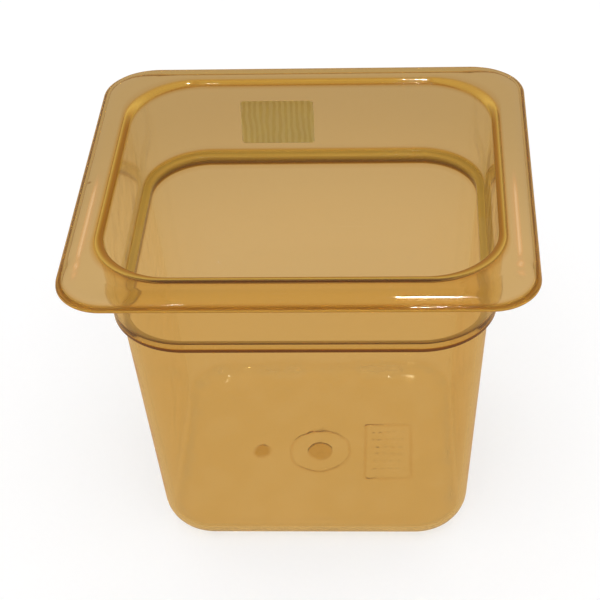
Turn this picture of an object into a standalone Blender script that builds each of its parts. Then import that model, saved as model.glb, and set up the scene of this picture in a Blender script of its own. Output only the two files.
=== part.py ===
"""Deli food pan: a one-shot moulded transparent pan of the gastronorm 1/6 size, 150 mm deep.

The pan stands on z = 0 with its centre on the Z axis. X runs along the 176 mm side, Y along the
162 mm side, +Z up. Lengths are in metres, written as millimetres times MM. Two pieces are made:
the moulded pan and the price label stuck on the back of its collar.
"""

import math

import bmesh
import bpy

MM = 0.001

# Overall size and wall
RIM_X = 176.0 * MM
RIM_Y = 162.0 * MM
HEIGHT = 150.0 * MM
WALL = 2.6 * MM

# Flange: the outer edge rolls down to the lip, and the top is level from there to the mouth
RIM_CORNER = 18.5 * MM
LIP_BOTTOM = 144.3 * MM
LIP_ROLL_IN = 7.5 * MM
LIP_ROLL_DOWN = 5.0 * MM
MOUTH_ROLL = 3.2 * MM

# Inside half sizes and corner radii, from the mouth down to the floor
MOUTH = (73.5 * MM, 66.1 * MM, 28.0 * MM)
COLLAR = (71.0 * MM, 63.6 * MM, 26.9 * MM)
NECK = (68.1 * MM, 60.7 * MM, 24.0 * MM)
FLOOR = (60.2 * MM, 52.8 * MM, 18.2 * MM)
LEDGE_Z = 116.5 * MM
LEDGE_DROP = 0.4 * MM
FLOOR_FILLET = 9.5 * MM

# Small radii of the mould on the ledge and the lip
EDGE_RADIUS = 0.7 * MM
EDGE_ANGLE = math.radians(35.0)
EDGE_SEGMENTS = 2

# Moulding marks, sunk in the outside of the floor
MARK_DEPTH = 0.35 * MM
GATE_RADIUS = 5.0 * MM
RING_RADIUS = 13.4 * MM
RING_WIDTH = 0.8 * MM
EJECTOR_X = -25.6 * MM
EJECTOR_RADIUS = 3.8 * MM

# Price label on the outside of the back wall of the collar
LABEL_WIDTH = 31.0 * MM
LABEL_HEIGHT = 20.0 * MM
LABEL_THICK = 0.3 * MM
LABEL_CORNER = 1.2 * MM
LABEL_X = -16.0 * MM
LABEL_Z = 129.5 * MM
LABEL_GAP = 0.3 * MM

CORNER_STEPS = 8
ROLL_STEPS = 5
FILLET_STEPS = 5
MARK_SEGMENTS = 40


def clear_scene():
    for obj in list(bpy.data.objects):
        bpy.data.objects.remove(obj, do_unlink=True)


def new_collection(name):
    group = bpy.data.collections.new(name)
    bpy.context.scene.collection.children.link(group)
    return group


def make_material(name, colour, roughness, transmission):
    material = bpy.data.materials.new(name)
    material.use_nodes = True
    shader = material.node_tree.nodes["Principled BSDF"]
    shader.inputs["Base Color"].default_value = (*colour, 1.0)
    shader.inputs["Roughness"].default_value = roughness
    shader.inputs["Metallic"].default_value = 0.0
    shader.inputs["Transmission Weight"].default_value = transmission
    return material


def add_object(name, mesh, group):
    obj = bpy.data.objects.new(name, mesh)
    group.objects.link(obj)
    return obj


def make_cutter(obj):
    obj.hide_render = True
    obj.display_type = "WIRE"


def quarter(steps):
    """(1 - sin, 1 - cos) along a quarter circle, for walking round a rolled or filleted edge."""
    angles = [math.radians(90.0 * step / steps) for step in range(steps + 1)]
    return [(1.0 - math.sin(angle), 1.0 - math.cos(angle)) for angle in angles]


def ring_points(half_x, half_y, corner, z):
    """Points round a rectangle of these half sizes whose corners are arcs of this radius."""
    points = []
    for sign_x, sign_y, start in ((1, 1, 0.0), (-1, 1, 90.0), (-1, -1, 180.0), (1, -1, 270.0)):
        centre_x = sign_x * (half_x - corner)
        centre_y = sign_y * (half_y - corner)
        for step in range(CORNER_STEPS + 1):
            angle = math.radians(start + 90.0 * step / CORNER_STEPS)
            x = centre_x + corner * math.cos(angle)
            y = centre_y + corner * math.sin(angle)
            points.append((x, y, z))
    return points


def shrunk(outline, inset):
    """The outline (half_x, half_y, corner) moved inwards by this much all round."""
    return tuple(value - inset for value in outline)


def pan_rings():
    """(half_x, half_y, corner, z) of the pan's upper and inner face, from the lip to the floor."""
    rim = (RIM_X / 2, RIM_Y / 2, RIM_CORNER)
    rings = [(*rim, LIP_BOTTOM)]
    for sine, cosine in quarter(ROLL_STEPS):
        rings.append((*shrunk(rim, LIP_ROLL_IN * cosine), HEIGHT - LIP_ROLL_DOWN * sine))
    for sine, cosine in quarter(ROLL_STEPS):
        rings.append((*shrunk(MOUTH, -MOUTH_ROLL * sine), HEIGHT - MOUTH_ROLL * cosine))
    rings.append((*COLLAR, LEDGE_Z))
    rings.append((*NECK, LEDGE_Z - LEDGE_DROP))
    draft = (NECK[0] - FLOOR[0]) / (LEDGE_Z - LEDGE_DROP - WALL)
    for sine, cosine in quarter(FILLET_STEPS):
        rise = FLOOR_FILLET * sine
        ring = shrunk(FLOOR, FLOOR_FILLET * cosine - draft * rise)
        rings.append((*ring, WALL + rise))
    return rings


def loft(rings):
    """One open skin through the rings, with normals up and inwards, closed at the floor."""
    mesh = bpy.data.meshes.new("pan")
    bm = bmesh.new()
    loops = [[bm.verts.new(point) for point in ring_points(*ring)] for ring in rings]
    count = len(loops[0])
    for outer, inner in zip(loops, loops[1:]):
        for index in range(count):
            after = (index + 1) % count
            bm.faces.new((outer[index], outer[after], inner[after], inner[index]))
    bm.faces.new(loops[-1])
    bm.to_mesh(mesh)
    bm.free()
    return mesh


def add_cylinder(name, radius, centre, depth, group):
    mesh = bpy.data.meshes.new(name)
    bm = bmesh.new()
    bmesh.ops.create_cone(
        bm,
        cap_ends=True,
        segments=MARK_SEGMENTS,
        radius1=radius,
        radius2=radius,
        depth=depth,
    )
    bm.to_mesh(mesh)
    bm.free()
    obj = add_object(name, mesh, group)
    obj.location = centre
    make_cutter(obj)
    return obj


def add_boolean(obj, name, cutter, operation):
    cut = obj.modifiers.new(name, "BOOLEAN")
    cut.operation = operation
    cut.solver = "EXACT"
    cut.object = cutter


def sink_marks(pan, cutters):
    """The gate ring and the two round marks that the mould leaves under the floor."""
    depth = 2 * MARK_DEPTH
    ring = add_cylinder("ring_cutter", RING_RADIUS, (0, 0, 0), depth, cutters)
    land = add_cylinder("ring_land", RING_RADIUS - RING_WIDTH, (0, 0, 0), 2 * depth, cutters)
    add_boolean(ring, "land", land, "DIFFERENCE")
    gate = add_cylinder("gate_cutter", GATE_RADIUS, (0, 0, 0), depth, cutters)
    ejector = add_cylinder("ejector_cutter", EJECTOR_RADIUS, (EJECTOR_X, 0, 0), depth, cutters)
    for cutter in (ring, gate, ejector):
        add_boolean(pan, cutter.name, cutter, "DIFFERENCE")


def make_pan(parts, cutters):
    pan = add_object("pan", loft(pan_rings()), parts)
    pan.data.materials.append(make_material("amber_plastic", (0.72, 0.42, 0.12), 0.08, 0.9))
    wall = pan.modifiers.new("wall", "SOLIDIFY")
    wall.thickness = WALL
    wall.offset = -1.0
    wall.use_even_offset = True
    edges = pan.modifiers.new("edges", "BEVEL")
    edges.width = EDGE_RADIUS
    edges.segments = EDGE_SEGMENTS
    edges.limit_method = "ANGLE"
    edges.angle_limit = EDGE_ANGLE
    sink_marks(pan, cutters)
    pan.data.shade_smooth()
    pan.data.set_sharp_from_angle(angle=EDGE_ANGLE)
    return pan


def make_label(parts):
    """A thin plate with rounded corners, parallel to the drafted back wall and just clear of it."""
    outline = bpy.data.curves.new("label_outline", "CURVE")
    outline.dimensions = "2D"
    outline.fill_mode = "BOTH"
    outline.extrude = LABEL_THICK / 2
    spline = outline.splines.new("POLY")
    points = []
    for sign_x, sign_y, start in ((1, 1, 0.0), (-1, 1, 90.0), (-1, -1, 180.0), (1, -1, 270.0)):
        for step in range(4):
            angle = math.radians(start + 30.0 * step)
            x = sign_x * (LABEL_WIDTH / 2 - LABEL_CORNER) + LABEL_CORNER * math.cos(angle)
            y = sign_y * (LABEL_HEIGHT / 2 - LABEL_CORNER) + LABEL_CORNER * math.sin(angle)
            points.append((x, y, 0.0, 1.0))
    spline.points.add(len(points) - 1)
    for point, place in zip(spline.points, points):
        point.co = place
    spline.use_cyclic_u = True
    label = bpy.data.objects.new("label", outline)
    parts.objects.link(label)
    label.data.materials.append(make_material("label_paper", (0.72, 0.70, 0.42), 0.6, 0.0))
    mouth_wall_z = HEIGHT - MOUTH_ROLL
    lean = math.atan2(MOUTH[1] - COLLAR[1], mouth_wall_z - LEDGE_Z)
    wall_y = COLLAR[1] + (LABEL_Z - LEDGE_Z) * math.tan(lean)
    offset = (WALL + LABEL_GAP + LABEL_THICK / 2) / math.cos(lean)
    label.location = (LABEL_X, wall_y + offset, LABEL_Z)
    label.rotation_euler = (math.radians(90.0) - lean, 0.0, 0.0)
    return label


def main():
    clear_scene()
    parts = new_collection("deli_food_pan")
    cutters = new_collection("cutters")
    make_pan(parts, cutters)
    make_label(parts)


main()
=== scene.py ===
# %% [markdown]
# # A deli food pan in transparent amber plastic
#
# The object is a gastronorm 1/6 pan, 176 by 162 mm over the rim and 150 mm deep. It is moulded in
# one shot from a clear amber plastic that stands oven heat. An old price label is still stuck on
# the back of its collar.
#
# The lesson builds two pieces, the pan and the label, as meshes worked out with numpy. Then it
# mixes a clear plastic that gets darker where light runs a long way inside the wall, adds painted
# shade to its edges and painted highlight lines to its rim and floor, and sets up a pale studio
# with a camera.

import math

import bpy
import numpy as np
from mathutils import Matrix, Vector


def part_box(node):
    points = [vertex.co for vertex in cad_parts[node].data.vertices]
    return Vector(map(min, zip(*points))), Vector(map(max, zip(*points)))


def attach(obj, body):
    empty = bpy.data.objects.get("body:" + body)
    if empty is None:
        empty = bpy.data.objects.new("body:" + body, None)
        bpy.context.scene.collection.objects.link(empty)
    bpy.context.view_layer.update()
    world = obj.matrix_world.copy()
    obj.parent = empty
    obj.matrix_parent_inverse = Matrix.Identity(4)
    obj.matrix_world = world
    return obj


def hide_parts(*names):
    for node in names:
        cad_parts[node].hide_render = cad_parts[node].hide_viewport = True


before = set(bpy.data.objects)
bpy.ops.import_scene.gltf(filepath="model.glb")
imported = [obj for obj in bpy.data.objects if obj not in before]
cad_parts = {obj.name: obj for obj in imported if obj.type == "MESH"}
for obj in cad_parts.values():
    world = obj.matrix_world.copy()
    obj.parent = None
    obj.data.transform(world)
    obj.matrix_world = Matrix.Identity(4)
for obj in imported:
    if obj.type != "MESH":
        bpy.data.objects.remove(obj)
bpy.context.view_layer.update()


print("nodes in the frame:", sorted(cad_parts))

# %% [markdown]
# ## One table of sizes
#
# A tapered pan is a stack of rounded rectangles. Each row of the table below is one of them: half
# its length, half its width, its corner radius and its height, all in millimetres. The rows are
# the sharp corners of the wall's section, and a later step rounds each of them. A table is easier
# to read and change than a list of vertices, and every other measure follows from it.
#
# The outside rows are the inside rows moved out by about the wall thickness, because the mould
# keeps the wall nearly even so that it cools evenly. The overall size comes from the packed model.

# %% The section of the wall as a table
MM = 0.001
WALL = 2.6
LIP_DEPTH = 5.7
LIP_CORNER = 18.5

_, rim_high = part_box("pan")
half_x = rim_high.x / MM
half_y = rim_high.y / MM
height = rim_high.z / MM
lip_bottom = height - LIP_DEPTH
under_rim = (half_x - WALL, half_y - WALL, LIP_CORNER - WALL)
shoulder_bottom = height - 36.6

#    half x  half y  corner  height        length rounded before and after the corner
section = [
    (60.2, 52.8, 18.2, WALL, 9.3, 9.3),  # floor fillet
    (68.1, 60.7, 24.0, height - 33.9, 0.3, 0.3),  # ledge, inner corner
    (71.0, 63.6, 26.9, height - 33.5, 0.25, 0.25),  # ledge, outer corner
    (73.55, 66.15, 28.1, height, 1.8, 1.8),  # mouth
    (half_x, half_y, LIP_CORNER, height, 7.5, 4.8),  # rim roll
    (half_x, half_y, LIP_CORNER, lip_bottom, 0.7, 0.7),  # lip, outer corner
    (*under_rim, lip_bottom, 0.7, 0.7),  # lip, inner corner
    (*under_rim, height - WALL, 2.3, 4.8),  # under the rim
    (76.15, 68.75, 30.7, height - WALL, 0.9, 0.9),  # top of the collar's outside
    (73.65, 66.25, 29.5, shoulder_bottom, 0.45, 0.45),  # shoulder
    (70.75, 63.35, 26.6, shoulder_bottom, 0.6, 0.6),  # under the shoulder
    (62.65, 55.25, 20.8, 0.0, 12.0, 12.0),  # foot
]
section = np.array(section)
inner_floor = np.array([50.0, 42.6, 9.0, WALL])
under_floor = np.array([50.0, 42.6, 9.0, 0.0])
print("corners in the wall's section:", len(section))

# %% [markdown]
# ## Rounding the section
#
# No moulded edge is sharp. Each corner of the section is replaced with a short piece of a conic
# curve, the same curve that draws a circle or an ellipse exactly. It starts a little before the
# corner and ends a little after it, and the two lengths in the table say how far. Equal lengths
# give an arc, as on the ledge, and unequal ones give the softer, flatter roll of the rim.
#
# Between two corners a few extra rings follow the straight wall. They crowd towards its ends,
# where the painted shade of the edges fades out and needs points to fade over.

# %% A rounded section from the table
ARC_STEPS = 9
STRAIGHT_SHARES = np.array([0.02, 0.06, 0.14, 0.5, 0.86, 0.94, 0.98])


def rounded_section(table, start, end):
    """Points along the section, with each corner replaced with a conic arc.

    A corner B between the points A and C becomes the sum of (1-s)^2 A, 2ws(1-s) B and s^2 C over
    the sum of their weights, where s runs from 0 to 1 and w is the sine of half the corner's
    angle. Straight pieces are steps between the end of one arc and the start of the next.
    """
    keys = np.vstack([start, table[:, :4], end])
    here = keys[1:-1]
    back = keys[:-2] - here
    ahead = keys[2:] - here
    back_length = np.hypot(back[:, 0], back[:, 3])
    ahead_length = np.hypot(ahead[:, 0], ahead[:, 3])
    before = here + back * (table[:, 4] / back_length)[:, None]
    after = here + ahead * (table[:, 5] / ahead_length)[:, None]
    dot = back[:, 0] * ahead[:, 0] + back[:, 3] * ahead[:, 3]
    cosine = dot / (back_length * ahead_length)
    weight = np.sqrt((1 - cosine) / 2)[:, None, None]
    s = np.linspace(0, 1, ARC_STEPS)[None, :, None]
    middle_share = 2 * weight * s * (1 - s)
    blend = (1 - s) ** 2 * before[:, None] + middle_share * here[:, None] + s**2 * after[:, None]
    arcs = blend / ((1 - s) ** 2 + middle_share + s**2)
    starts = np.vstack([start, after])
    ends = np.vstack([before, end])
    t = STRAIGHT_SHARES[None, :, None]
    straights = (1 - t) * starts[:, None] + t * ends[:, None]
    woven = np.concatenate([straights[:-1], arcs], axis=1).reshape(-1, 4)
    return np.vstack([start, woven, straights[-1], end])


rings = rounded_section(section, inner_floor, under_floor)
print("rings from the inner floor over the rim to the underside:", len(rings))

# %% [markdown]
# ## Points round each ring
#
# Every ring has the same number of points, so ring after ring can be joined into faces. The
# points of one ring follow a rounded rectangle: an arc in each corner and even steps along each
# side. Working on all the rings at once, as one array of rings by points by three coordinates,
# takes a few lines and no loop.

# %% Rounded rectangles as one array
CORNER_STEPS = 24
SIDE_STEPS = 50


def ring_grid(rows):
    """An array of rings by points: each corner is its centre plus the radius times (cos, sin).

    The side that follows a corner is a straight mix of that corner's last point and the next
    corner's first point.
    """
    side_x = np.array([1, -1, -1, 1])
    side_y = np.array([1, 1, -1, -1])
    turn = np.radians([0, 90, 180, 270])[:, None] + np.linspace(0, np.pi / 2, CORNER_STEPS + 1)
    centre_x = side_x * (rows[:, 0:1] - rows[:, 2:3])
    centre_y = side_y * (rows[:, 1:2] - rows[:, 2:3])
    x = centre_x[:, :, None] + rows[:, 2, None, None] * np.cos(turn)
    y = centre_y[:, :, None] + rows[:, 2, None, None] * np.sin(turn)
    share = np.linspace(0, 1, SIDE_STEPS + 1)[1:-1]
    next_x = np.roll(x, -1, axis=1)[:, :, :1]
    next_y = np.roll(y, -1, axis=1)[:, :, :1]
    x = np.concatenate([x, x[:, :, -1:] * (1 - share) + next_x * share], axis=2)
    y = np.concatenate([y, y[:, :, -1:] * (1 - share) + next_y * share], axis=2)
    flat_x = x.reshape(len(rows), -1)
    flat_y = y.reshape(len(rows), -1)
    flat_z = np.broadcast_to(rows[:, 3:4], flat_x.shape)
    return np.stack([flat_x, flat_y, flat_z], axis=2)


skin = ring_grid(rings)
print("points round a ring:", skin.shape[1])

# %% [markdown]
# ## The two floors
#
# The inner floor is plain. The underside carries what the mould leaves there: a round recess where
# the plastic was injected, a ring round it, one ejector mark, and a framed panel for the maker's
# data, which here holds only plain dashes. All of them are shallow steps, so the underside is a
# height map: a grid of points whose height says how deep the step is at that place.
#
# The grid runs from the last ring to the middle. Near the ring it keeps the rectangle's shape, and
# near the middle it turns into circles, so that the round marks are cleanly drawn.

# %% Soft shapes for a height map
def smooth_step(value, edge, width):
    """0 below the edge and 1 above it, with a soft change of this width."""
    t = np.clip((value - edge) / width + 0.5, 0, 1)
    return t * t * (3 - 2 * t)


def disc(x, y, centre_x, radius, width=0.5):
    """1 inside a circle on the pan's middle line and 0 outside it."""
    return 1 - smooth_step(np.hypot(x - centre_x, y), radius, width)


def rounded_box(x, y, centre_x, half_wide, half_tall, corner, width=0.7):
    """1 inside a rounded rectangle: the distance beyond its straight sides, less the corner."""
    dx = np.maximum(np.abs(x - centre_x) - half_wide + corner, 0)
    dy = np.maximum(np.abs(y) - half_tall + corner, 0)
    return 1 - smooth_step(np.hypot(dx, dy), corner, width)


# %% The moulding marks, in millimetres
GATE_RADIUS = 5.3
GATE_DEPTH = 0.45
GATE_STUB = 0.20
RING_OUTER = 13.6
RING_INNER = 12.6
EJECTOR_X = -25.6
PANEL_X = 30.0
ROW_SPACING = 4.6
DASH_SPACING = 3.4


def ring_mark(x, y):
    """1 on the thin ring round the gate."""
    return disc(x, y, 0, RING_OUTER) - disc(x, y, 0, RING_INNER)


def panel_frame(x, y, inner_wide, inner_tall):
    """1 on the frame of the data panel: a rounded rectangle less a smaller one."""
    outer = rounded_box(x, y, PANEL_X, 10.6, 17.6, 2.2)
    return outer - rounded_box(x, y, PANEL_X, inner_wide, inner_tall, 1.6)


def panel_dashes(x, y):
    """1 on the dashes: bands across y, cut into pieces along x, with each row shifted."""
    row = np.abs((y / ROW_SPACING) % 1 - 0.5)
    shifted = x + 3 * np.floor(y / ROW_SPACING)
    dash = np.abs((shifted / DASH_SPACING) % 1 - 0.5)
    dashes = (1 - smooth_step(row, 0.17, 0.16)) * (1 - smooth_step(dash, 0.33, 0.16))
    return dashes * rounded_box(x, y, PANEL_X, 7.6, 13.6, 1.0, 0.8)


def underside_depth(x, y):
    """How far the underside is sunk, in millimetres: the sum of the mould's marks."""
    gate = GATE_DEPTH * disc(x, y, 0, GATE_RADIUS, 0.8) - GATE_STUB * disc(x, y, 0, 1.6, 1.4)
    ejector = 0.30 * disc(x, y, EJECTOR_X, 3.8, 0.7)
    panel = 0.30 * panel_frame(x, y, 9.7, 16.7) + 0.30 * panel_dashes(x, y)
    return 0.25 * ring_mark(x, y) + gate + ejector + panel


# %% The two floors as grids
FLOOR_RINGS = 96
CIRCLE_RADIUS = 42.0


def disc_grid(edge, depth_at=None):
    """Rings from the edge to the middle: a mix of the edge shrunk and of circles."""
    share = np.linspace(1, 0, FLOOR_RINGS + 1)[1:-1, None]
    angle = np.arctan2(edge[:, 1], edge[:, 0])[None, :]
    reach = np.hypot(edge[:, 0], edge[:, 1])[None, :]
    blend = smooth_step(share, 0.72, 0.5)
    radius = share * (blend * reach + (1 - blend) * CIRCLE_RADIUS)
    x = radius * np.cos(angle)
    y = radius * np.sin(angle)
    z = np.full_like(x, edge[0, 2])
    if depth_at is not None:
        z = z + depth_at(x, y)
    return np.stack([x, y, z], axis=2)


underside = disc_grid(skin[-1], underside_depth)
inside = disc_grid(skin[0])[::-4]
print("underside rings:", len(underside), " inner floor rings:", len(inside))
print("deepest mark in mm:", round(float(underside[:, :, 2].max()), 2))

# %% [markdown]
# ## Painted shade on the edges
#
# The rounded edges get a painted shade: a deeper gold, orange or brown, less clearness and a
# little more roughness, standing in for the dark lines that light bent inside the wall draws along
# them.
# Where it goes is stored on the mesh as an attribute, one number per vertex, which the material
# reads later. An attribute follows the surface exactly, and needs no picture and no unwrapping.
#
# The painted shade is darkest on the shoulder and just under it. On the lip it is strongest at
# the front, and on the mouth it is faintest at the back.

# %% Painted edge shade at each point of the skin
#     how dark   reach    front   back     each row is one corner of the section above
edge_shade_table = [
    (0.00, 1.0, 1.0, 1.0),  # floor fillet
    (0.33, 2.4, 0.9, 1.0),  # ledge, inner corner
    (0.30, 1.2, 0.5, 0.9),  # ledge, outer corner
    (0.60, 2.4, 1.0, 0.34),  # mouth
    (0.00, 1.0, 1.0, 1.0),  # rim roll
    (0.16, 1.5, 2.8, 1.0),  # lip, outer corner
    (0.16, 1.5, 2.0, 1.0),  # lip, inner corner
    (0.00, 1.0, 1.0, 1.0),  # under the rim
    (0.08, 1.0, 1.0, 1.0),  # top of the collar's outside
    (1.80, 1.7, 1.0, 1.0),  # shoulder
    (1.50, 1.5, 1.0, 1.0),  # under the shoulder
    (0.00, 1.0, 1.0, 1.0),  # foot
]


def edge_shade_at(points, radii, corners, table):
    """The painted shade of each point: exp(-(distance / reach)^4) from a corner, the largest of
    them.

    The distance is measured in the wall's section. Towards the front and the back of the pan the
    shade is multiplied by the table's last two columns.
    """
    edge_shade, reach, front, back = np.array(table).T
    across = radii[:, None, 0] - corners[None, :, 0]
    up = radii[:, None, 3] - corners[None, :, 3]
    bell = edge_shade * np.exp(-((np.hypot(across, up) / reach) ** 4))
    to_front = smooth_step(-points[:, :, 1:2], 52.0, 26.0)
    to_back = smooth_step(points[:, :, 1:2], 45.0, 30.0)
    share = 1 + to_front * (front - 1) + to_back * (back - 1)
    return (bell[:, None, :] * share).max(axis=2)


skin_shade = edge_shade_at(skin, rings, section, edge_shade_table)
# There is no painted shade on the neck just under the ledge at the front; it fades in behind that.
ledge_x, ledge_z = section[1, 0], section[1, 3]
below_ledge = (rings[:, 0] < ledge_x + 0.2) & (rings[:, 3] < ledge_z - 0.2)
skin_shade[below_ledge] *= smooth_step(skin[below_ledge][:, :, 1], -40.0, 20.0)
print("share of the skin that is worn:", round(float((skin_shade > 0.05).mean()), 3))

# %% [markdown]
# ## Joining the rings into the pan
#
# The rings are stacked in one order, from the middle of the inner floor, up the inside, over the
# rim and down the outside to the middle of the underside. Each ring is joined to the next with
# four-sided faces, and the two middles are closed with a fan of triangles. Every face has to point
# out of the plastic, because clear plastic bends light one way going in and the other way coming
# out, and the faces say which is which. The volume inside the mesh tells: it comes out negative
# when the faces point inwards, and then they are turned.

# %% Helpers for closed meshes
def filled_mesh(name, points, faces, smooth):
    """A mesh from points in millimetres and a list of faces."""
    mesh = bpy.data.meshes.new(name)
    mesh.from_pydata((points * MM).tolist(), [], faces)
    mesh.polygons.foreach_set("use_smooth", np.full(len(faces), smooth))
    mesh.update()
    return mesh


def signed_volume(mesh):
    """The volume inside a closed mesh; it is positive when the faces point outwards.

    It adds up, for each triangle, a sixth of its first corner dotted with the cross product of
    the other two.
    """
    mesh.calc_loop_triangles()
    corners = np.empty(len(mesh.loop_triangles) * 3, np.int32)
    mesh.loop_triangles.foreach_get("vertices", corners)
    points = np.empty(len(mesh.vertices) * 3, np.float32)
    mesh.vertices.foreach_get("co", points)
    a, b, c = points.reshape(-1, 3)[corners.reshape(-1, 3)].transpose(1, 0, 2).astype(float)
    return float(np.einsum("ij,ij->i", a, np.cross(b, c)).sum() / 6)


def piece(name, mesh, body, node):
    """A finished piece at the origin, riding on its body and standing for its CAD node."""
    if signed_volume(mesh) < 0:
        mesh.flip_normals()
    made = bpy.data.objects.new(name, mesh)
    bpy.context.scene.collection.objects.link(made)
    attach(made, body)
    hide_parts(node)
    print(name, "triangles:", len(mesh.loop_triangles))
    return made


# %% The pan as one closed mesh
def closed_shell(name, grid, first_pole, last_pole):
    """A mesh of all rings, each joined to the next, with a pole at both ends."""
    count, around = grid.shape[:2]
    points = np.vstack([grid.reshape(-1, 3), first_pole, last_pole])
    index = np.arange(count * around).reshape(count, around)
    after = np.roll(index, -1, axis=1)
    quads = np.stack([index[:-1], after[:-1], after[1:], index[1:]], axis=2).reshape(-1, 4)
    pole = np.full(around, count * around)
    first = np.stack([after[0], index[0], pole], axis=1)
    last = np.stack([index[-1], after[-1], pole + 1], axis=1)
    faces = quads.tolist() + first.tolist() + last.tolist()
    return filled_mesh(name, points, faces, True)


shell = np.concatenate([inside, skin, underside])
inside_pole = [0.0, 0.0, WALL]
underside_pole = [0.0, 0.0, GATE_DEPTH - GATE_STUB]
pan_mesh = closed_shell("amber_pan", shell, inside_pole, underside_pole)
pan = piece("amber_pan", pan_mesh, "root", "pan")
print("plastic in the pan, cubic cm:", round(signed_volume(pan_mesh) * 1e6, 1))

# %% [markdown]
# ## Writing the painted shade, painted highlights and scuffs into the mesh
#
# Three attributes are stored: how much painted shade an edge gets and how much darker a moulding
# mark is, where a pale painted highlight line runs along the top of the rim, and where the inner
# floor is scuffed, with a painted highlight band on the fillet round the floor, which gets the
# most.

# %% Painted shade on the edges, and darker moulding marks
def store(mesh, name, values):
    """One number per vertex, under this name."""
    layer = mesh.attributes.new(name, "FLOAT", "POINT")
    layer.data.foreach_set("value", np.asarray(values, np.float32))


def mark_darkening(x, y):
    """How much darker, less clear and rougher the moulding marks are drawn."""
    gate = 0.14 * disc(x, y, 0, GATE_RADIUS, 0.8)
    ejector = 0.17 * disc(x, y, EJECTOR_X, 3.6, 2.4)
    return gate + ejector + 0.09 * ring_mark(x, y) + 0.09 * panel_frame(x, y, 9.5, 16.5)


inner_shade = np.zeros(inside.shape[:2])
under_shade = mark_darkening(underside[:, :, 0], underside[:, :, 1])
shell_shade = np.concatenate([inner_shade, skin_shade, under_shade]).reshape(-1)
# The painted edge shade and the darkening of the moulding marks share this attribute.
store(pan_mesh, "edge_shade_and_marks", np.append(shell_shade, [0.0, 0.3]))
print("vertices with wear:", int((shell_shade > 0.05).sum()))


# %% The painted highlight line on the rim, and the scuffed floor with a painted highlight on its fillet
CREASE_X = 80.4
CREASE_WIDTH = 0.6
FILLET_MIDDLE = 6.0


def crease_highlight_at(x, y, z):
    """A painted highlight line on the top of the rim's two short sides, just where the roll
    begins.
    """
    across = np.exp(-(((np.abs(x) - CREASE_X) / CREASE_WIDTH) ** 2))
    along = smooth_step(-y, 8.0, 22.0) * (1 - smooth_step(-y, 66.0, 7.0))
    return across * along * (z > height - 1.2)


def scuffing_and_sheen_at(z):
    """1 of scuffs on the inner floor, fading up the wall, and up to 4 more of painted highlight on
    the fillet.
    """
    fillet = 4.0 * np.exp(-(((z - FILLET_MIDDLE) / 2.0) ** 2))
    return 1 - smooth_step(z, 6.5, 5.0) + fillet


shell_x, shell_y, shell_z = shell.reshape(-1, 3).T
# A pale painted highlight line along the crease of the rim's short sides.
store(pan_mesh, "painted_crease_highlight", np.append(crease_highlight_at(shell_x, shell_y, shell_z), [0.0, 0.0]))
# The first half of the skin's rings line the inside, and the rest are the outside.
inner_points = (len(inside) + len(skin) // 2) * skin.shape[1]
is_inner_floor = (np.arange(len(shell_z)) < inner_points) & (shell_z < 12)
# Scuffs on the inner floor, with a painted highlight band on its fillet.
scuff_sheen_at_points = np.where(is_inner_floor, scuffing_and_sheen_at(shell_z), 0.0)
store(pan_mesh, "scuffing_and_fillet_sheen", np.append(scuff_sheen_at_points, [1.0, 0.0]))
print("vertices on the scuffed floor:", int(is_inner_floor.sum()))

# %% [markdown]
# ## The label
#
# A price label is stuck on the outside of the back wall of the collar. It is a sheet of coated
# paper with rounded corners, a little wavy because the glue has dried. It is made as one grid of
# points: two sheets, front and back, over the same outline. The wave is a sum of two slow sines.

# %% A thin wavy sheet
PAPER_THICK = 0.16
PAPER_CORNER = 1.2
PAPER_GAP = 0.08
WAVE_ROOM = 0.06
PLATE_THICK = 0.3


def label_sheet(low, high):
    """Two wavy sheets over one rounded outline, in the place of the CAD plate.

    A point runs across from left to right and up from bottom to top. Near the top and bottom the
    row gets shorter by the corner's own circle. The sheet leans with the wall, so its distance
    from the middle of the pan grows with height.
    """
    wide = (high.x - low.x) / MM / 2
    tall = (high.z - low.z) / MM / 2
    middle_x = (high.x + low.x) / MM / 2
    middle_z = (high.z + low.z) / MM / 2
    across, up = np.meshgrid(np.linspace(-1, 1, 62), np.linspace(-1, 1, 40))
    over = np.maximum(np.abs(up) * tall - (tall - PAPER_CORNER), 0)
    row_half = wide - PAPER_CORNER + np.sqrt(np.maximum(PAPER_CORNER**2 - over**2, 0))
    x = middle_x + across * row_half
    z = middle_z + up * tall
    lean = (high.y - low.y) / MM - PLATE_THICK
    y = low.y / MM + PAPER_GAP + (up + 1) / 2 * lean
    wave = 0.05 * np.sin(x / 3.1 + z / 7.0) + 0.04 * np.sin(z / 2.3 - x / 9.0)
    inner = np.stack([x, y + WAVE_ROOM + wave * 0.5, z], axis=2)
    outer = inner + [0.0, PAPER_THICK, 0.0]
    return inner, outer


def two_sided(name, inner, outer):
    """A closed mesh of two matching grids and the strip round their edge."""
    rows, columns = inner.shape[:2]
    count = rows * columns
    points = np.vstack([inner.reshape(-1, 3), outer.reshape(-1, 3)])
    index = np.arange(count).reshape(rows, columns)
    corners = [index[:-1, :-1], index[:-1, 1:], index[1:, 1:], index[1:, :-1]]
    near = np.stack(corners, axis=2).reshape(-1, 4)
    far = near[:, ::-1] + count
    edge = np.concatenate([index[0, :-1], index[:-1, -1], index[-1, :0:-1], index[:0:-1, 0]])
    after = np.roll(edge, -1)
    strip = np.stack([edge, edge + count, after + count, after], axis=1)
    return filled_mesh(name, points, np.vstack([near, far, strip]).tolist(), False)


label_mesh = two_sided("price_label", *label_sheet(*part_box("label")))
label = piece("price_label", label_mesh, "root", "label")

# %% [markdown]
# ## Helpers for node materials
#
# A material is a graph of small nodes. The class below keeps the graph in one place, and each of
# its methods adds one common step, so that a material reads like a recipe.

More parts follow.
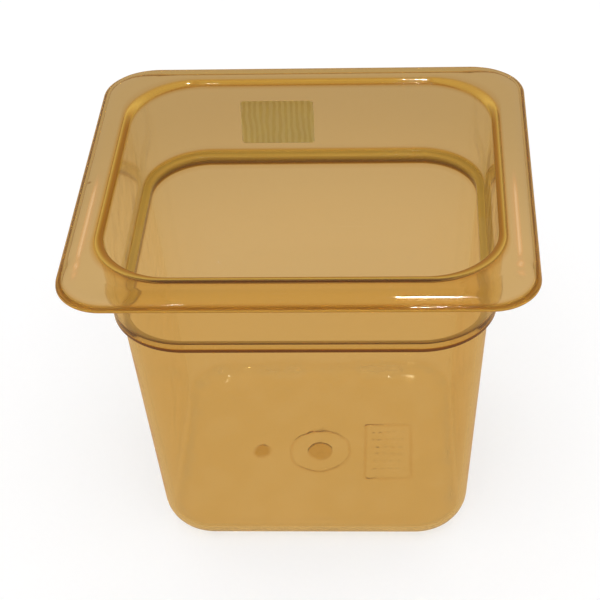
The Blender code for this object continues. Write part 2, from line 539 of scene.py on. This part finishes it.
# %% A recipe of nodes
class Recipe:
    """A node graph that is built one step at a time."""

    def __init__(self, tree):
        self.tree = tree
        tree.nodes.clear()

    def add(self, kind, **settings):
        """A node of this kind. A setting is one of its properties or one of its sockets."""
        node = self.tree.nodes.new(kind)
        for key, value in settings.items():
            if hasattr(node, key):
                setattr(node, key, value)
            else:
                node.inputs[key.replace("_", " ")].default_value = value
        return node

    def feed(self, socket, value):
        """Links an output to this input, or sets the input to a plain value."""
        if isinstance(value, bpy.types.NodeSocket):
            self.tree.links.new(value, socket)
        else:
            socket.default_value = value

    def mix(self, factor, low, high):
        """A colour between low and high."""
        node = self.add("ShaderNodeMix", data_type="RGBA")
        self.feed(node.inputs[0], factor)
        self.feed(node.inputs[6], low)
        self.feed(node.inputs[7], high)
        return node.outputs[2]

    def mix_shaders(self, factor, first, second):
        """A shader between two others."""
        node = self.add("ShaderNodeMixShader")
        self.feed(node.inputs[0], factor)
        self.feed(node.inputs[1], first)
        self.feed(node.inputs[2], second)
        return node.outputs["Shader"]

    def ramp(self, value, low, high, to_low=0.0, to_high=1.0, **settings):
        """A number moved from one range to another and held inside it."""
        node = self.add("ShaderNodeMapRange", **settings)
        self.feed(node.inputs["From Min"], low)
        self.feed(node.inputs["From Max"], high)
        self.feed(node.inputs["To Min"], to_low)
        self.feed(node.inputs["To Max"], to_high)
        self.feed(node.inputs["Value"], value)
        return node.outputs["Result"]

    def math(self, operation, first, second):
        """Two numbers combined with this operation."""
        node = self.add("ShaderNodeMath", operation=operation)
        self.feed(node.inputs[0], first)
        self.feed(node.inputs[1], second)
        return node.outputs["Value"]

    def plus(self, first, second, factor):
        """First plus second times a factor."""
        node = self.add("ShaderNodeMath", operation="MULTIPLY_ADD")
        self.feed(node.inputs[0], second)
        self.feed(node.inputs[1], factor)
        self.feed(node.inputs[2], first)
        return node.outputs["Value"]

    def place(self):
        """The place of the shaded point, in the object's own coordinates."""
        return self.add("ShaderNodeTexCoord").outputs["Object"]

    def noise(self, scale, detail, stretch=(1.0, 1.0, 1.0)):
        """Noise on the object's coordinates, stretched where the scale is small."""
        mapping = self.add("ShaderNodeMapping", Scale=stretch)
        self.feed(mapping.inputs["Vector"], self.place())
        node = self.add("ShaderNodeTexNoise", Scale=scale, Detail=detail)
        self.feed(node.inputs["Vector"], mapping.outputs["Vector"])
        return node.outputs["Fac"]

    def attribute(self, name):
        """A number stored on the mesh."""
        return self.add("ShaderNodeAttribute", attribute_name=name).outputs["Fac"]


def new_material(name):
    """An empty node material and the recipe that fills it."""
    material = bpy.data.materials.new(name)
    material.use_nodes = True
    return material, Recipe(material.node_tree)


print("steps in a recipe:", [name for name in vars(Recipe) if not name.startswith("_")])

# %% [markdown]
# ## Mixing the amber plastic
#
# Clear plastic has three parts. Its surface is glossy and bends light by a fixed index, about 1.6
# for this kind of plastic. Its body takes blue and some green out of the light, more the further
# the light goes, which darkens the rim, the ledge and every corner; a painted shade on the edges
# darkens them further. And years of use leave it scuffed: fine scratches, a slight haze and a few
# stains.
#
# The body colour is an absorption, set on the volume. The scuffs go into the surface: its colour,
# how much light passes it, its roughness and a very low bump. So do the painted edge shade and
# the painted highlights on the rim and the floor's fillet, as colour and less clearness.

# %% The plastic's surface and body
plastic, amber = new_material("amber_plastic")
plastic_out = amber.add("ShaderNodeOutputMaterial")
surface = amber.add("ShaderNodeBsdfPrincipled", IOR=1.6)
body = amber.add("ShaderNodeVolumeAbsorption", Color=(0.955, 0.82, 0.14, 1), Density=125.0)
amber.feed(plastic_out.inputs["Surface"], surface.outputs["BSDF"])
amber.feed(plastic_out.inputs["Volume"], body.outputs["Volume"])

# Read from the mesh: painted edge shade, a painted highlight line on the rim, and floor scuffs
# with a painted highlight on the fillet.
edge_shade = amber.attribute("edge_shade_and_marks")
crease_highlight = amber.attribute("painted_crease_highlight")
cloudy = amber.ramp(amber.noise(60.0, 5.0), 0.40, 0.62, 0.35, 1.0)
scuffing_and_sheen = amber.math("MULTIPLY", amber.attribute("scuffing_and_fillet_sheen"), cloudy)
tint = np.array(body.inputs["Color"].default_value)[:3]
left = np.exp(-(1 - tint) * body.inputs["Density"].default_value * WALL * MM)
print("red, green and blue left after one wall:", left.round(3).tolist())

# %% Its colour: clear walls, a scuffed floor, painted shade on the edges, painted highlights
CLEAR_WARM = (0.995, 0.92, 0.80, 1)
CLEAR_COOL = (0.965, 0.925, 0.84, 1)
SCUFF_AND_SHEEN = (0.97, 0.84, 0.55, 1)
SHADE_GOLD = (0.76, 0.48, 0.09, 1)
SHADE_ORANGE = (0.42, 0.155, 0.002, 1)
SHADE_BROWN = (0.16, 0.04, 0.001, 1)
CREASE_HIGHLIGHT = (1.0, 0.68, 0.38, 1)
STAIN = (0.42, 0.27, 0.12, 1)

colour = amber.mix(amber.noise(26.0, 4.0), CLEAR_WARM, CLEAR_COOL)
colour = amber.mix(scuffing_and_sheen, colour, SCUFF_AND_SHEEN)
# Painted shade on the edges: gold, then orange, then brown as the stored value grows.
colour = amber.mix(amber.ramp(edge_shade, 0.0, 0.15), colour, SHADE_GOLD)
colour = amber.mix(amber.ramp(edge_shade, 0.30, 0.60), colour, SHADE_ORANGE)
colour = amber.mix(amber.ramp(edge_shade, 0.60, 1.0), colour, SHADE_BROWN)
# A pale orange painted highlight line along the rim's crease.
colour = amber.mix(amber.ramp(crease_highlight, 0.0, 0.4), colour, CREASE_HIGHLIGHT)
print("nodes so far, with the colours of the wear:", len(plastic.node_tree.nodes))

# %% A few small stains
# Each cell of a Voronoi pattern has a middle and a random colour. A stain sits on the middle of
# the few cells whose red is above 0.93.
specks = amber.add("ShaderNodeTexVoronoi", Scale=48.0)
amber.feed(specks.inputs["Vector"], amber.place())
cell_colour = amber.add("ShaderNodeSeparateColor")
amber.feed(cell_colour.inputs["Color"], specks.outputs["Color"])
chosen = amber.math("GREATER_THAN", cell_colour.outputs["Red"], 0.93)
spot = amber.ramp(specks.outputs["Distance"], 0.03, 0.06, 1.0, 0.0)
stained = amber.math("MULTIPLY", spot, chosen)
amber.feed(surface.inputs["Base Color"], amber.mix(stained, colour, STAIN))
print("stain cells along 100 mm:", round(specks.inputs["Scale"].default_value / 10, 1))

# %% How clear it is, how smooth, and its finest scratches
# Less clear under the painted edge shade, the painted highlight line, and the floor's scuffs and
# painted fillet highlight.
clearness = amber.plus(1.0, amber.ramp(edge_shade, 0.08, 0.32, 0.0, 0.72), -1.0)
clearness = amber.plus(clearness, crease_highlight, -0.50)
clearness = amber.plus(clearness, scuffing_and_sheen, -0.075)
amber.feed(surface.inputs["Transmission Weight"], clearness)

scratches_x = amber.ramp(amber.noise(420.0, 2.0, (0.06, 1.0, 1.0)), 0.66, 0.74)
scratches_y = amber.ramp(amber.noise(390.0, 2.0, (1.0, 0.07, 0.9)), 0.67, 0.75)
scratches = amber.plus(scratches_x, scratches_y, 1.0)
rough = amber.ramp(amber.noise(34.0, 5.0), 0.35, 0.75, 0.015, 0.06)
rough = amber.plus(rough, scratches, 0.10)
rough = amber.plus(rough, edge_shade, 0.05)
amber.feed(surface.inputs["Roughness"], rough)

relief = amber.plus(amber.noise(55.0, 2.0), scratches, -0.02)
bump = amber.add("ShaderNodeBump", Strength=0.06, Distance=0.002)
amber.feed(bump.inputs["Height"], relief)
amber.feed(surface.inputs["Normal"], bump.outputs["Normal"])
pan_mesh.materials.append(plastic)
print("nodes in the plastic:", len(plastic.node_tree.nodes))

# %% [markdown]
# ## The label's paper
#
# The label is thin coated paper that has yellowed, and some light comes through it from behind, so
# it gets some subsurface scattering. Its print is a plain pattern of upright bars. A wave texture
# draws them, with some distortion, because old thermal print is uneven, and a colour ramp turns
# the wave into faded print and paper.

# %% The label paper
PRINT = (0.82, 0.77, 0.46, 1)
PAPER = (0.97, 0.95, 0.68, 1)

paper, yellowed = new_material("label_paper")
paper_out = yellowed.add("ShaderNodeOutputMaterial")
sheet = yellowed.add("ShaderNodeBsdfPrincipled", Roughness=0.6)
sheet.inputs["Subsurface Weight"].default_value = 0.7
sheet.inputs["Subsurface Scale"].default_value = 0.001
sheet.inputs["Subsurface Radius"].default_value = (1.0, 1.0, 0.7)
bars = yellowed.add("ShaderNodeTexWave", Scale=125.0, Distortion=3.0, Detail=1.0)
yellowed.feed(bars.inputs["Vector"], yellowed.place())
tones = yellowed.add("ShaderNodeValToRGB")
for stop, position, tone in zip(tones.color_ramp.elements, (0.35, 0.65), (PRINT, PAPER)):
    stop.position = position
    stop.color = tone
yellowed.feed(tones.inputs["Fac"], bars.outputs["Fac"])
yellowed.feed(sheet.inputs["Base Color"], tones.outputs["Color"])
yellowed.feed(paper_out.inputs["Surface"], sheet.outputs["BSDF"])
label_mesh.materials.append(paper)
print("nodes in the paper:", len(paper.node_tree.nodes))

# %% [markdown]
# ## The studio
#
# A clear object shows what is behind it. The floor and the backdrop are pale to the eye, but what
# is seen through the pan, or mirrored in it, is a warmer tan, like the worktop and the room that
# such a pan usually stands in. The Light Path node tells the two apart. From below, the floor is
# clear, so that the underside can be looked at too.

# %% The floor
PALE = (0.95, 0.95, 0.95, 1)
WORKTOP = (0.63, 0.45, 0.26, 1)
FLOOR_DROP = 0.0002
FLOOR_REACH = 6.0


def floor_material():
    """Pale to the camera, a tan glow that fades outwards to all other rays, clear from below."""
    material, recipe = new_material("pale_floor")
    path = recipe.add("ShaderNodeLightPath")
    distance = recipe.add("ShaderNodeVectorMath", operation="LENGTH")
    recipe.feed(distance.inputs[0], recipe.place())
    reach = distance.outputs["Value"]
    fade = recipe.ramp(reach, 0.15, 0.30, 1.0, 0.80, interpolation_type="SMOOTHSTEP")
    glow = recipe.add("ShaderNodeEmission", Color=WORKTOP)
    recipe.feed(glow.inputs["Strength"], fade)
    lit = recipe.add("ShaderNodeEmission", Color=PALE, Strength=1.16)
    matt = recipe.add("ShaderNodeBsdfDiffuse", Color=PALE)
    seen = recipe.mix_shaders(0.45, lit.outputs["Emission"], matt.outputs["BSDF"])
    is_camera = path.outputs["Is Camera Ray"]
    above = recipe.mix_shaders(is_camera, glow.outputs["Emission"], seen)
    is_below = recipe.add("ShaderNodeNewGeometry").outputs["Backfacing"]
    clear = recipe.add("ShaderNodeBsdfTransparent").outputs["BSDF"]
    out = recipe.add("ShaderNodeOutputMaterial")
    recipe.feed(out.inputs["Surface"], recipe.mix_shaders(is_below, above, clear))
    return material


corner_signs = ((-1, -1), (1, -1), (1, 1), (-1, 1))
floor_corners = [(x * FLOOR_REACH, y * FLOOR_REACH, -FLOOR_DROP) for x, y in corner_signs]
floor_mesh = bpy.data.meshes.new("floor")
floor_mesh.from_pydata(floor_corners, [], [(0, 1, 2, 3)])
floor_mesh.materials.append(floor_material())
floor = bpy.data.objects.new("floor", floor_mesh)
bpy.context.scene.collection.objects.link(floor)
print("floor, metres across:", 2 * FLOOR_REACH)

# %% The room round it
world = bpy.data.worlds.new("studio")
world.use_nodes = True
bpy.context.scene.world = world
room = Recipe(world.node_tree)
room_out = room.add("ShaderNodeOutputWorld")
air = room.add("ShaderNodeBackground")
path = room.add("ShaderNodeLightPath")
direction = room.add("ShaderNodeSeparateXYZ")
room.feed(direction.inputs["Vector"], room.add("ShaderNodeTexCoord").outputs["Generated"])
rise = room.ramp(direction.outputs["Z"], 0.35, 0.95)
tan_room = room.mix(rise, (0.50, 0.37, 0.22, 1), (0.60, 0.40, 0.13, 1))
lit_room = room.mix(path.outputs["Is Diffuse Ray"], tan_room, (0.88, 0.88, 0.90, 1))
backdrop = room.mix(path.outputs["Is Camera Ray"], lit_room, (0.92, 0.92, 0.92, 1))
room.feed(air.inputs["Color"], backdrop)
room.feed(room_out.inputs["Surface"], air.outputs["Background"])
print("nodes in the room:", len(world.node_tree.nodes))

# %% [markdown]
# ## The lamps
#
# A large softbox lights the floor and the matt parts evenly. Three small bright lamps make the
# sparkle on the wet-looking plastic: one above, one low in front, and a little window on the left.
# A highlight needs a small lamp, and a soft shadow needs a large one, so the softbox is hidden
# from mirrored and bent rays, and the two strong lamps are hidden from matt surfaces.

# %% Lamps
def area_lamp(name, place, target, size, radiance):
    """A rectangular lamp aimed at a point. Its power is pi times its area times its radiance."""
    data = bpy.data.lights.new(name, "AREA")
    data.shape = "RECTANGLE"
    data.size, data.size_y = size
    data.energy = math.pi * size[0] * size[1] * radiance
    lamp = bpy.data.objects.new(name, data)
    lamp.location = place
    aim = Vector(target) - Vector(place)
    lamp.rotation_euler = aim.to_track_quat("-Z", "Y").to_euler()
    bpy.context.scene.collection.objects.link(lamp)
    return lamp


middle = (0.0, 0.0, 0.09)
softbox = area_lamp("softbox", (0.1, -0.8, 1.4), middle, (1.2, 1.2), 1.2)
softbox.visible_glossy = False
softbox.visible_transmission = False
flash = area_lamp("flash", (0.052, -0.95, 0.33), middle, (0.036, 0.03), 150.0)
ceiling_lamp = area_lamp("ceiling_lamp", (0.052, -0.10, 1.30), middle, (0.036, 0.05), 1500.0)
flash.visible_diffuse = False
ceiling_lamp.visible_diffuse = False
window = area_lamp("window", (-0.135, -0.56, 0.60), middle, (0.010, 0.025), 80.0)
print("lamps:", [lamp.name for lamp in (softbox, flash, ceiling_lamp, window)])

# %% [markdown]
# ## The camera
#
# The camera looks down at the pan from the front, a little from the right, as a standing person
# sees it on a table. Its axes are worked out from three turns, because that keeps the tilt of the
# horizon apart from the direction of the view.

# %% The camera
def camera(place, yaw, pitch, roll, lens, shift_x):
    """A camera whose view turns left by yaw, down by pitch and about its own axis by roll."""
    right = np.array([math.cos(yaw), math.sin(yaw), 0.0])
    level = np.array([-math.sin(yaw), math.cos(yaw), 0.0])
    up = np.array([0.0, 0.0, 1.0])
    forward = level * math.cos(pitch) - up * math.sin(pitch)
    lifted = up * math.cos(pitch) + level * math.sin(pitch)
    view_right = right * math.cos(roll) + lifted * math.sin(roll)
    view_up = lifted * math.cos(roll) - right * math.sin(roll)
    axes = np.stack([view_right, view_up, -forward], axis=1)
    data = bpy.data.cameras.new("camera")
    data.lens = lens
    data.shift_x = shift_x
    made = bpy.data.objects.new("camera", data)
    made.matrix_world = Matrix.Translation(place) @ Matrix(axes.tolist()).to_4x4()
    bpy.context.scene.collection.objects.link(made)
    return made


turns = [math.radians(angle) for angle in (3.358, 38.583, -2.339)]
view = camera((0.04366, -0.54894, 0.52426), *turns, lens=102.64, shift_x=-0.0667)
bpy.context.scene.camera = view
print("camera height in metres:", round(view.location.z, 3))

# %% [markdown]
# ## How far light is followed
#
# Light that is caught in a clear wall is mirrored many times before it leaves it. A ray that is
# given up early comes out black, and clear edges then look like ink, so rays are followed for
# many bounces. The Standard view keeps the pale backdrop pale.

# %% Bounces and view
BOUNCES = 64
scene = bpy.context.scene
scene.view_settings.view_transform = "Standard"
scene.cycles.max_bounces = BOUNCES
scene.cycles.transmission_bounces = BOUNCES
scene.cycles.glossy_bounces = BOUNCES
print("bounces:", BOUNCES)
